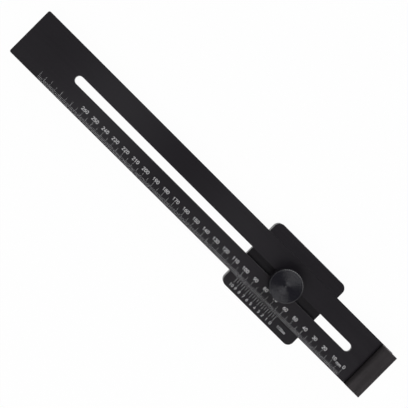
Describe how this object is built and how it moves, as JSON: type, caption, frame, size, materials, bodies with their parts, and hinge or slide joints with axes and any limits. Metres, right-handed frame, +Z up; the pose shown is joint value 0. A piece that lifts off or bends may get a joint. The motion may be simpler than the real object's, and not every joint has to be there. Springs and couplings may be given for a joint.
{
  "type": "vernier marking gauge",
  "caption": "Vernier marking gauge: flat slotted beam with a marking lip at one end, a slide with a fence and a vernier flange, and a knurled clamp knob.",
  "frame": {"origin": "mid length between the beam's tail and the marking edge, on the beam's centre line, in the plane of the slide's underside", "axes": "+X along the beam towards the marking edge, +Y from the beam's scale side to its plain side, +Z up towards the clamp knob"},
  "size_m": [0.3486, 0.06, 0.022],
  "materials": {
    "black_anodised": "satin black anodised",
    "black_turned": "turned and knurled, black anodised",
    "blackened_steel": "hardened, ground, black oxide",
    "screw_steel": "black oxide",
    "washer_steel": "plain ground steel",
    "brass": "turned"
  },
  "bodies": {
    "beam": {"beam": "black_anodised", "marking_lip": "blackened_steel", "lip_screw_1": "screw_steel", "lip_screw_2": "screw_steel"},
    "slide": {"slide_body": "black_anodised", "threaded_bush": "brass"},
    "washer": {"thrust_washer": "washer_steel"},
    "clamp_screw": {"clamp_knob": "black_turned", "clamp_stud": "screw_steel"}
  },
  "joints": [
    {"name": "slide_travel", "type": "slide", "parent": "beam", "child": "slide", "axis": [1, 0, 0], "range_m": [-0.2046, 0.05645]},
    {"name": "clamp_lift", "type": "slide", "parent": "slide", "child": "washer", "axis": [0, 0, 1], "range_m": [0, 0.003]},
    {"name": "clamp_turn", "type": "hinge", "parent": "washer", "child": "clamp_screw", "pos_m": [0.07915, 0, 0.01], "axis": [0, 0, 1], "range_deg": [0, 1080]}
  ],
  "couplings": [
    {"joint": "clamp_lift", "follows": "clamp_turn", "m_per_rad": 0.00015915}
  ]
}
